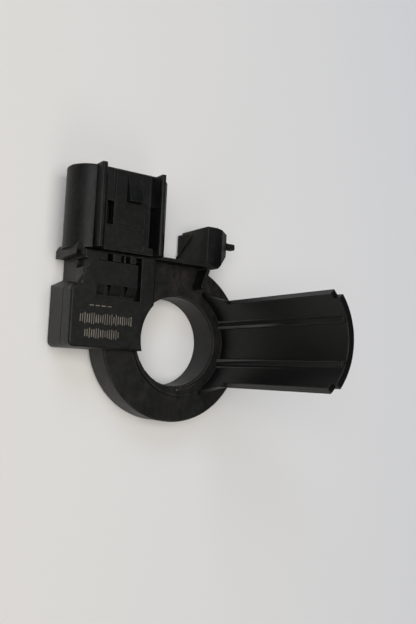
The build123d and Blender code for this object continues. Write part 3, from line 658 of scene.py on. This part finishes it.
def steady_normals(mesh: bpy.types.Mesh, flat_below: float) -> None:
    """Shades a rounded mesh so that flat faces stay flat up to the edge's radius.

    Args:
        mesh: The mesh, whose sharp edges are marked.
        flat_below: The largest angle inside one flat patch, in radians.
    """
    shape = bmesh.new()
    shape.from_mesh(mesh)
    areas = patch_areas(shape, flat_below)
    normals = []
    for face in shape.faces:
        for loop in face.loops:
            total = Vector()
            for other in smooth_fan(face, loop.vert):
                total += other.normal * (areas[other.index] / MM**2) ** 2
            normals.append(total.normalized() if total.length > 0.0 else face.normal.copy())
    shape.free()
    mesh.normals_split_custom_set(normals)


@dataclass
class RoundedShell:
    """A moulding's visible shell: the CAD node's own faces with its sharp edges broken.

    A mould never gives a knife edge, so every edge sharper than sharp_from gets a small radius, except where
    the rounding would fold over.
    """

    node: str
    slot: Slot
    finish: MouldedPlastic
    radius: float = 0.18
    segments: int = 3
    merge_gap: float = 0.0005
    # An edge that turns by sharp_from is a corner. One that turns by less is a step of a curve,
    # counts as bent from bent_from on, and lies in one flat patch below flat_below.
    sharp_from: float = math.radians(28)
    bent_from: float = math.radians(5)
    flat_below: float = math.radians(0.5)
    # How much of the shortest edge beside a corner its radius may take.
    reach_share: float = 0.36
    # How far, in radii, the rounding may leave the true faces, and how far round such a place the
    # edges are left sharp.
    fold_share: float = 1.0
    fold_reach: float = 1.2
    # Faces smaller than this, in square millimetres, may point any way, as nobody sees them.
    least_area: float = 0.0002
    tries: int = 5

    def build(self, nodes: Nodes) -> None:
        """Makes the shell and lets it stand for its node.

        Args:
            nodes: The CAD nodes by name.
        """
        shape = bmesh.new()
        shape.from_mesh(nodes[self.node].data)
        bmesh.ops.remove_doubles(shape, verts=shape.verts, dist=self.merge_gap * MM)
        bmesh.ops.dissolve_limit(
            shape,
            angle_limit=self.flat_below,
            verts=shape.verts,
            edges=shape.edges,
            use_dissolve_boundaries=False,
        )
        bmesh.ops.triangulate(shape, faces=shape.faces, quad_method="BEAUTY", ngon_method="BEAUTY")
        self.weigh_edges(shape)
        mesh = self.rounded(shape)
        shape.free()
        steady_normals(mesh, self.flat_below)
        piece = new_piece(f"{self.node}_shell", mesh, self.finish.build())
        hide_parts(self.node)
        seat(piece)

    def rounded(self, shape: bmesh.types.BMesh) -> bpy.types.Mesh:
        """Rounds the weighted edges, and leaves sharp those whose rounding would fold over.

        Args:
            shape: The node's clean mesh with a bevel weight on each edge.

        Returns:
            The rounded mesh, with no point far from the node's own faces.
        """
        true_faces = BVHTree.FromBMesh(shape)
        weight = shape.edges.layers.float["bevel_weight_edge"]
        for _ in range(self.tries):
            for edge in shape.edges:
                edge.smooth = edge[weight] > 0.0 or not self.sharp(edge)
            host = bpy.data.objects.new("rounding", bpy.data.meshes.new("rounding"))
            shape.to_mesh(host.data)
            bpy.context.scene.collection.objects.link(host)
            rounding = host.modifiers.new("edge_radius", "BEVEL")
            rounding.width = self.radius * MM
            rounding.segments = self.segments
            rounding.limit_method = "WEIGHT"
            rounding.use_clamp_overlap = False
            rounding.miter_outer = "MITER_ARC"
            mesh = baked(host)
            folds = self.folds(mesh, true_faces)
            LOG.info("%s: %d folds", self.node, len(folds))
            if not folds:
                break
            for edge in shape.edges:
                if edge[weight] > 0.0 and self.near(edge, folds):
                    edge[weight] = 0.0
        return mesh

    def folds(self, mesh: bpy.types.Mesh, true_faces: BVHTree) -> list[Vector]:
        """Finds where a rounded mesh leaves the node's faces or turns over.

        Args:
            mesh: The rounded mesh.
            true_faces: The node's own faces.

        Returns:
            The middles of the faces that are wrong.
        """
        found = []
        for face in mesh.polygons:
            _, normal, _, gap = true_faces.find_nearest(face.center)
            corners = (mesh.vertices[number].co for number in face.vertices)
            widest = max(true_faces.find_nearest(corner)[3] for corner in corners)
            turned = face.area > self.least_area * MM * MM and normal.dot(face.normal) < 0.0
            if turned or max(gap, widest) > self.fold_share * self.radius * MM:
                found.append(face.center.copy())
        return found

    def near(self, edge: bmesh.types.BMEdge, places: Iterable[Vector]) -> bool:
        """Tells whether an edge runs close by one of the places.

        Args:
            edge: The edge.
            places: The places.

        Returns:
            True if one lies within the fold's reach.
        """
        start, end = (vert.co for vert in edge.verts)
        for place in places:
            closest, share = geometry.intersect_point_line(place, start, end)
            closest = start if share < 0.0 else end if share > 1.0 else closest
            if (closest - place).length < self.fold_reach * self.radius * MM:
                return True
        return False

    def sharp(self, edge: bmesh.types.BMEdge) -> bool:
        """Tells whether an edge is a real corner, not a step between the facets of a curve."""
        return edge.is_manifold and edge.calc_face_angle() >= self.sharp_from

    def weigh_edges(self, shape: bmesh.types.BMesh) -> None:
        """Gives each sharp edge the share of the radius that its neighbours leave room for.

        Args:
            shape: The node's clean mesh.
        """
        weight = shape.edges.layers.float.new("bevel_weight_edge")
        for face in shape.faces:
            face.smooth = True
        for edge in shape.edges:
            edge[weight] = 0.0
            if not self.sharp(edge):
                continue
            around = [
                other.calc_length()
                for vert in edge.verts
                for other in vert.link_edges
                if other.is_manifold and other.calc_face_angle() > self.bent_from
            ]
            room = min(around) * self.reach_share
            edge[weight] = min(1.0, room / (self.radius * MM))


def open_group(name: str, inputs: Mapping[str, Kind]) -> tuple[Tree, bpy.types.Node]:
    """Starts a Geometry Nodes tree.

    Args:
        name: The tree's name.
        inputs: The socket type of each named input.

    Returns:
        The tree and its group input node.
    """
    tree = bpy.data.node_groups.new(name, "GeometryNodeTree")
    for label, kind in inputs.items():
        tree.interface.new_socket(name=label, in_out="INPUT", socket_type=kind.value)
    tree.interface.new_socket(name="Mesh", in_out="OUTPUT", socket_type="NodeSocketGeometry")
    return tree, tree.nodes.new("NodeGroupInput")


def close_group(tree: Tree, instances: Socket, finish: Socket) -> None:
    """Ends a Geometry Nodes tree with real meshes in one material.

    Args:
        tree: The tree.
        instances: The instances' socket.
        finish: The material's socket.
    """
    real = add_node(tree, "GeometryNodeRealizeInstances", links={0: instances})
    painted = add_node(
        tree, "GeometryNodeSetMaterial", links={"Geometry": real.outputs[0], "Material": finish}
    )
    add_node(tree, "NodeGroupOutput", links={0: painted.outputs[0]})


def grown(tree: Tree, values: Mapping[str, Any]) -> bpy.types.Mesh:
    """Runs a Geometry Nodes tree once and keeps its result as a plain mesh.

    Args:
        tree: The tree.
        values: Its inputs by name, which are set by the sockets' identifiers.

    Returns:
        The mesh.
    """
    host = bpy.data.objects.new(tree.name, bpy.data.meshes.new(tree.name))
    bpy.context.scene.collection.objects.link(host)
    modifier = host.modifiers.new("grow", "NODES")
    modifier.node_group = tree
    for item in tree.interface.items_tree:
        if item.item_type == "SOCKET" and item.in_out == "INPUT":
            modifier[item.identifier] = values[item.name]
    return baked(host)


def joined(name: str, meshes: Iterable[bpy.types.Mesh]) -> bpy.types.Mesh:
    """Puts several meshes into one.

    Args:
        name: The new mesh's name.
        meshes: The meshes.

    Returns:
        The whole mesh.
    """
    shape = bmesh.new()
    for mesh in meshes:
        shape.from_mesh(mesh)
    whole = bpy.data.meshes.new(name)
    shape.to_mesh(whole)
    shape.free()
    return whole


@dataclass(frozen=True)
class TickRow:
    """One row of etched bars: its first bar's middle, then pitch, count, widths and heights in mm."""

    start: tuple[float, float]
    pitch: float
    count: int
    widths: tuple[float, float]
    heights: tuple[float, float]


@dataclass
class EtchedMarks:
    """Laser-etched rows on the bay's roof: plain bars of uneven height that spell nothing."""

    thickness: float = 0.03
    rows: tuple[TickRow, ...] = (
        TickRow((-30.0, 3.74), 0.6, 24, (0.16, 0.26), (1.6, 2.8)),
        TickRow((-28.6, 0.14), 0.6, 16, (0.16, 0.26), (1.4, 2.5)),
        TickRow((-27.2, 6.98), 1.6, 4, (1.0, 1.15), (0.2, 0.24)),
    )
    width_seed: int = 3
    height_seed: int = 8
    # Laser-foamed PBT: the beam turns the black skin to a matt grey-brown froth, so the bars read
    # pale from afar and dusty close by. The froth is really finer than its grain is drawn.
    finish: PlainFinish = PlainFinish(
        "laser_etched_pbt", "#7b756a", "#5e5a52", (0.6, 0.8), 0.12, 0.01, ior=1.52
    )

    def build(self, roof: bpy.types.Object) -> None:
        """Makes the marks as one thin mesh.

        Args:
            roof: The CAD node that they are etched on.
        """
        tree = self.row_tree()
        finish = self.finish.build()
        meshes = []
        for row in self.rows:
            values = {
                "Count": row.count,
                "Start": (row.start[0] * MM, row.start[1] * MM, top_of(roof, row.start)),
                "Pitch": row.pitch * MM,
                "Narrowest": row.widths[0] * MM,
                "Widest": row.widths[1] * MM,
                "Shortest": row.heights[0] * MM,
                "Longest": row.heights[1] * MM,
                "Thickness": self.thickness * MM,
                "Finish": finish,
            }
            meshes.append(grown(tree, values))
        marks = new_piece("etched_marks", joined("etched_marks", meshes), finish)
        seat(marks)

    def row_tree(self) -> Tree:
        """Builds the tree that sets bars along a line.

        Returns:
            The tree.
        """
        lengths = ("Pitch", "Narrowest", "Widest", "Shortest", "Longest", "Thickness")
        inputs = {"Count": Kind.COUNT, "Start": Kind.PLACE, "Finish": Kind.FINISH}
        tree, given = open_group("etched_row", inputs | dict.fromkeys(lengths, Kind.NUMBER))
        step = add_node(tree, "ShaderNodeCombineXYZ", links={"X": given.outputs["Pitch"]})
        line = add_node(
            tree,
            "GeometryNodeMeshLine",
            links={
                "Count": given.outputs["Count"],
                "Start Location": given.outputs["Start"],
                "Offset": step.outputs[0],
            },
        )
        size = add_node(tree, "ShaderNodeCombineXYZ", links={"Z": given.outputs["Thickness"]})
        draws = (
            ("X", "Narrowest", "Widest", self.width_seed),
            ("Y", "Shortest", "Longest", self.height_seed),
        )
        for axis, least, most, seed in draws:
            draw = add_node(
                tree,
                "FunctionNodeRandomValue",
                {SEED: seed},
                {LOWEST_NUMBER: given.outputs[least], HIGHEST_NUMBER: given.outputs[most]},
                data_type="FLOAT",
            )
            tree.links.new(draw.outputs[RANDOM_NUMBER], size.inputs[axis])
        bar = add_node(tree, "GeometryNodeMeshCube", {"Size": (1.0, 1.0, 1.0)})
        bars = add_node(
            tree,
            "GeometryNodeInstanceOnPoints",
            links={"Points": line.outputs[0], "Instance": bar.outputs[0], "Scale": size.outputs[0]},
        )
        close_group(tree, bars.outputs[0], given.outputs["Finish"])
        return tree


@dataclass(frozen=True)
class CrumbArc:
    """A stretch of weld flash: centre, radius, angles in degrees, count, sizes and spread in mm."""

    centre: tuple[float, float]
    radius: float
    start: float
    sweep: float
    count: int
    sizes: tuple[float, float]
    spread: float

    def middle(self) -> tuple[float, float]:
        """Gives the x and y of the arc's middle."""
        angle = math.radians(self.start + self.sweep / 2)
        return self.centre[0] + self.radius * math.cos(angle), self.centre[1] + self.radius * math.sin(angle)


@dataclass
class WeldFlash:
    """Crumbs of plastic that the weld round the cable aperture has pressed out and left."""

    arcs: tuple[CrumbArc, ...] = (
        CrumbArc((0.0, 0.0), 12.3, -150.0, 60.0, 46, (0.04, 0.19), 0.12),
        CrumbArc((0.4, 0.0), 12.8, -96.0, 36.0, 30, (0.06, 0.42), 0.24),
        CrumbArc((0.0, 0.0), 12.5, 60.0, 60.0, 30, (0.05, 0.2), 0.15),
    )
    # Each crumb lies turned by up to a full circle and tilted by up to this, in radians.
    most_turn: Triple = (0.4, 0.4, 6.28)
    drift_seeds: tuple[int, int] = (11, 12)
    size_seeds: tuple[int, int] = (21, 22)
    turn_seed: int = 31
    # Weld flash: PBT that melted, smoked and set in crumbs, so it looks browner and rougher than
    # the moulded skin beside it.
    finish: PlainFinish = PlainFinish(
        "welded_pbt_flash", "#161411", "#322e27", (0.5, 0.7), 0.35, 0.03, ior=1.4
    )

    def build(self, lid: bpy.types.Object) -> None:
        """Makes all the crumbs as one mesh.

        Args:
            lid: The CAD node that they lie on.
        """
        tree = self.crumb_tree()
        finish = self.finish.build()
        meshes = []
        for arc in self.arcs:
            values = {
                "Count": arc.count,
                "Centre": (arc.centre[0] * MM, arc.centre[1] * MM, top_of(lid, arc.middle())),
                "Radius": arc.radius * MM,
                "From": math.radians(arc.start),
                "Sweep": math.radians(arc.sweep),
                "Smallest": arc.sizes[0] * MM,
                "Largest": arc.sizes[1] * MM,
                "Spread": arc.spread * MM,
                "Finish": finish,
            }
            meshes.append(grown(tree, values))
        crumbs = new_piece("weld_flash", joined("weld_flash", meshes), finish)
        seat(crumbs)

    def crumb_tree(self) -> Tree:
        """Builds the tree that scatters crumbs along an arc, each as flat as the smallest is wide.

        Returns:
            The tree.
        """
        numbers = ("Radius", "From", "Sweep", "Smallest", "Largest", "Spread")
        inputs = {"Count": Kind.COUNT, "Centre": Kind.PLACE, "Finish": Kind.FINISH}
        tree, given = open_group("weld_flash", inputs | dict.fromkeys(numbers, Kind.NUMBER))
        arc = add_node(
            tree,
            "GeometryNodeCurveArc",
            links={
                "Resolution": given.outputs["Count"],
                "Radius": given.outputs["Radius"],
                "Start Angle": given.outputs["From"],
                "Sweep Angle": given.outputs["Sweep"],
            },
        )
        back = add_node(
            tree, "ShaderNodeMath", {1: -1.0}, {0: given.outputs["Spread"]}, operation="MULTIPLY"
        )
        drift = add_node(tree, "ShaderNodeCombineXYZ")
        size = add_node(tree, "ShaderNodeCombineXYZ", links={"Z": given.outputs["Smallest"]})
        draws = (
            (drift, self.drift_seeds, back.outputs[0], given.outputs["Spread"]),
            (size, self.size_seeds, given.outputs["Smallest"], given.outputs["Largest"]),
        )
        for target, seeds, least, most in draws:
            for axis, seed in zip("XY", seeds):
                draw = add_node(
                    tree,
                    "FunctionNodeRandomValue",
                    {SEED: seed},
                    {LOWEST_NUMBER: least, HIGHEST_NUMBER: most},
                    data_type="FLOAT",
                )
                tree.links.new(draw.outputs[RANDOM_NUMBER], target.inputs[axis])
        moved = add_node(
            tree,
            "ShaderNodeVectorMath",
            links={0: given.outputs["Centre"], 1: drift.outputs[0]},
            operation="ADD",
        )
        placed = add_node(
            tree, "GeometryNodeSetPosition", links={"Geometry": arc.outputs[0], "Offset": moved.outputs[0]}
        )
        turn = add_node(
            tree,
            "FunctionNodeRandomValue",
            {
                LOWEST_VECTOR: (0.0, 0.0, 0.0),
                HIGHEST_VECTOR: self.most_turn,
                SEED: self.turn_seed,
            },
            data_type="FLOAT_VECTOR",
        )
        crumb = add_node(tree, "GeometryNodeMeshIcoSphere", {"Radius": 1.0, "Subdivisions": 1})
        crumbs = add_node(
            tree,
            "GeometryNodeInstanceOnPoints",
            links={
                "Points": placed.outputs[0],
                "Instance": crumb.outputs[0],
                "Rotation": turn.outputs[0],
                "Scale": size.outputs[0],
            },
        )
        close_group(tree, crumbs.outputs[0], given.outputs["Finish"])
        return tree


@dataclass
class FluxCore:
    """The stack of steel stampings and its two foam pads."""

    # Rolled silicon steel, stamped: grey metal with fine streaks along the way it was rolled. The
    # streaks are really finer and are drawn 0.15 mm wide.
    steel: PlainFinish = PlainFinish(
        "rolled_silicon_steel", "#8d8f93", "#a3a4a6", (0.28, 0.42), 0.15, 0.004, (1.0, 9.0, 1.0), metallic=1.0
    )
    # Closed-cell foam, cut from sheet: dark, quite matt, with a pebbly face of small cells.
    foam: PlainFinish = PlainFinish("closed_cell_foam", "#2b2b2c", "#353536", (0.8, 0.95), 0.2, 0.06)

    def build(self, nodes: Nodes) -> None:
        """Dresses the sheets and pads.

        Args:
            nodes: The CAD nodes by name.
        """
        steel = self.steel.build()
        foam = self.foam.build()
        for name, node in nodes.items():
            if name.startswith("core_sheet"):
                dress(node, steel)
            if name.endswith("core_pad"):
                dress(node, foam)


@dataclass
class Electronics:
    """The board with its chips, the Hall sensor, the blade terminals and their carrier."""

    # Solder mask printed on glass fibre: an even green with a soft gloss and a hint of the weave.
    board: PlainFinish = PlainFinish("green_solder_mask", "#1c4a2b", "#255a35", (0.3, 0.4), 0.4, 0.004)
    # Moulded epoxy: near black and dull, like fine slate. The grain is drawn coarser than it is.
    epoxy: PlainFinish = PlainFinish("moulded_epoxy", "#1b1b1c", "#262627", (0.5, 0.65), 0.08, 0.006)
    # Matte tin plate on copper alloy: pale grey metal whose reflections are softly blurred. The
    # plate's crystals are far finer than the 0.1 mm at which they are drawn.
    tin: PlainFinish = PlainFinish(
        "matte_tin_plate", "#8f8d88", "#a5a39d", (0.25, 0.4), 0.1, 0.002, metallic=1.0
    )
    # Fired ceramic: tan and dull, like an unglazed tile. The grain is drawn coarser than it is.
    ceramic: PlainFinish = PlainFinish("fired_ceramic", "#a98a63", "#b89a73", (0.45, 0.6), 0.1, 0.004)
    # Overglaze printed on alumina: near black, and the glossiest thing on the board.
    glaze: PlainFinish = PlainFinish("overglaze", "#1d1d20", "#2a2a2e", (0.15, 0.25), 0.3, 0.002)
    # The same PBT as the shells, with its own shade and a darker haze.
    carrier: MouldedPlastic = MouldedPlastic("carrier_pbt", shade="#090a0a", haze="#151616")

    def build(self, nodes: Nodes) -> None:
        """Dresses every node of the assembly.

        Args:
            nodes: The CAD nodes by name.
        """
        finishes = {
            "circuit_board": self.board,
            "hall_sensor": self.epoxy,
            "signal_chip": self.epoxy,
            "hall_sensor_leads": self.tin,
            "signal_chip_leads": self.tin,
            "terminal": self.tin,
            "capacitor": self.ceramic,
            "resistor": self.glaze,
            "terminal_carrier": self.carrier,
        }
        made: dict[str, bpy.types.Material] = {}
        for name, node in nodes.items():
            family = name.rsplit("_", 1)[0]
            finish = finishes.get(name) or finishes.get(family)
            if finish is None:
                continue
            if finish.name not in made:
                made[finish.name] = finish.build()
            dress(node, made[finish.name])


@dataclass
class SoftLamp:
    """One rectangular softbox: where it stands and aims, its sides in mm, watts and colour."""

    name: str
    place: Triple
    aim: Triple
    size: tuple[float, float]
    power: float
    tint: str

    def build(self) -> None:
        """Adds the lamp."""
        data = bpy.data.lights.new(self.name, "AREA")
        data.shape = "RECTANGLE"
        data.size = self.size[0] * MM
        data.size_y = self.size[1] * MM
        data.energy = self.power
        data.color = linear(self.tint)[:3]
        lamp = bpy.data.objects.new(self.name, data)
        place = Vector(self.place) * MM
        lamp.location = place
        lamp.rotation_euler = (Vector(self.aim) * MM - place).to_track_quat("-Z", "Y").to_euler()
        bpy.context.scene.collection.objects.link(lamp)


@dataclass
class Studio:
    """Pale floor, soft lamps, world and the camera at the photograph's angle."""

    # The camera's place in millimetres and turn in degrees follow from the photograph's vanishing
    # points and the aperture's circle.
    camera_place: Triple = (-100.45, -9.82, 173.04)
    camera_turn: Triple = (3.6155, -34.2591, 3.2079)
    lens: float = 41.12
    sensor: float = 36.0
    nearest: float = 5.0
    farthest: float = 20000.0
    floor_size: float = 3000.0
    floor_z: float = -0.02
    # Painted light: the floor's tint runs from warm on the left to cool on the right.
    floor_warm_light_tint: str = "#e9e8e4"
    floor_cool_light_tint: str = "#e8ecf3"
    floor_roughness: float = 0.75
    floor_light_tint_blend: Span = Span(-70.0, 170.0)
    floor_fade: Span = Span(220.0, 640.0)
    # Only the camera sees the backdrop. It throws no light on the part.
    backdrop: str = "#d6d7d9"
    world_colour: str = "#dfe6f2"
    world_strength: float = 0.05
    lamps: list[SoftLamp] = field(
        default_factory=lambda: [
            SoftLamp("overhead_softbox", (-280, 0, 870), (-5, 0, 0), (520, 1000), 7.0, "#fffbf5"),
            SoftLamp("far_softbox", (-300, 570, 640), (-5, 0, 0), (420, 420), 1.5, "#dfe9ff"),
            SoftLamp("near_softbox", (0, -640, 640), (-5, 0, 0), (420, 420), 0.95, "#fff6ec"),
        ]
    )

    def build(self) -> None:
        """Sets up the whole studio."""
        self.build_camera()
        self.build_floor()
        self.build_world()
        for lamp in self.lamps:
            lamp.build()
        bpy.context.scene.view_settings.view_transform = "Standard"

    def build_camera(self) -> None:
        """Adds the camera and makes it the scene's own."""
        data = bpy.data.cameras.new("photo_camera")
        data.sensor_fit = "VERTICAL"
        data.sensor_height = self.sensor
        data.lens = self.lens
        data.clip_start = self.nearest * MM
        data.clip_end = self.farthest * MM
        camera = bpy.data.objects.new("photo_camera", data)
        camera.location = Vector(self.camera_place) * MM
        camera.rotation_euler = [math.radians(angle) for angle in self.camera_turn]
        bpy.context.scene.collection.objects.link(camera)
        bpy.context.scene.camera = camera

    def build_floor(self) -> None:
        """Adds the plain pale floor just under the part."""
        half = self.floor_size * MM / 2
        level = self.floor_z * MM
        mesh = bpy.data.meshes.new("studio_floor")
        corners = [(-half, -half, level), (half, -half, level), (half, half, level), (-half, half, level)]
        mesh.from_pydata(corners, [], [(0, 1, 2, 3)])
        floor = new_piece("studio_floor", mesh, self.matt_card())

    # Matt card: a pale sheet that throws soft light back and takes a soft shadow. Its colour runs
    # warmer on the left and cooler on the right, painted light for the warm and cool light across it,
    # and the camera sees it fade into the backdrop far away.
    def matt_card(self) -> bpy.types.Material:
        """Makes the floor's material.

        Returns:
            The material.
        """
        material, tree = blank_material("matt_card")
        place = object_coordinates(tree)
        axes = add_node(tree, "ShaderNodeSeparateXYZ", links={0: place})
        reach = add_node(tree, "ShaderNodeVectorMath", links={0: place}, operation="LENGTH")
        seen = add_node(tree, "ShaderNodeLightPath")
        colour = add_node(
            tree,
            "ShaderNodeMix",
            {FIRST_COLOUR: linear(self.floor_warm_light_tint), SECOND_COLOUR: linear(self.floor_cool_light_tint)},
            {FACTOR: where_all(tree, ((axes.outputs["X"], self.floor_light_tint_blend),))},
            data_type="RGBA",
        )
        card = add_node(
            tree,
            "ShaderNodeBsdfPrincipled",
            {"Roughness": self.floor_roughness},
            {"Base Color": colour.outputs[MIXED_COLOUR]},
        )
        backdrop = add_node(tree, "ShaderNodeEmission", {"Color": linear(self.backdrop)})
        far = where_all(
            tree, ((seen.outputs["Is Camera Ray"], Span(0.0, 1.0)), (reach.outputs["Value"], self.floor_fade))
        )
        both = add_node(
            tree,
            "ShaderNodeMixShader",
            links={FACTOR: far, FIRST_SHADER: card.outputs[0], SECOND_SHADER: backdrop.outputs[0]},
        )
        add_node(tree, "ShaderNodeOutputMaterial", links={"Surface": both.outputs[0]})
        return material

    def build_world(self) -> None:
        """Adds the even light of a pale room, which the camera sees as a pale backdrop."""
        world = bpy.data.worlds.new("pale_room")
        world.use_nodes = True
        tree = world.node_tree
        tree.nodes.clear()
        light = add_node(
            tree,
            "ShaderNodeBackground",
            {"Color": linear(self.world_colour), "Strength": self.world_strength},
        )
        backdrop = add_node(tree, "ShaderNodeBackground", {"Color": linear(self.backdrop)})
        seen = add_node(tree, "ShaderNodeLightPath").outputs["Is Camera Ray"]
        both = add_node(
            tree,
            "ShaderNodeMixShader",
            links={FACTOR: seen, FIRST_SHADER: light.outputs[0], SECOND_SHADER: backdrop.outputs[0]},
        )
        add_node(tree, "ShaderNodeOutputWorld", links={"Surface": both.outputs[0]})
        bpy.context.scene.world = world


def main() -> None:
    """Builds the whole scene in order."""
    logging.basicConfig(level=logging.INFO, format="%(name)s: %(message)s")
    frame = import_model()
    nodes = frame["nodes"]
    Studio().build()
    FluxCore().build(nodes)
    Electronics().build(nodes)
    RoundedShell("housing", Slot.HOUSING, MouldedPlastic("housing_pbt")).build(nodes)
    RoundedShell("cover", Slot.COVER, MouldedPlastic("cover_pbt")).build(nodes)
    EtchedMarks().build(nodes["cover"])
    WeldFlash().build(nodes["cover"])


if __name__ == "__main__":
    main()
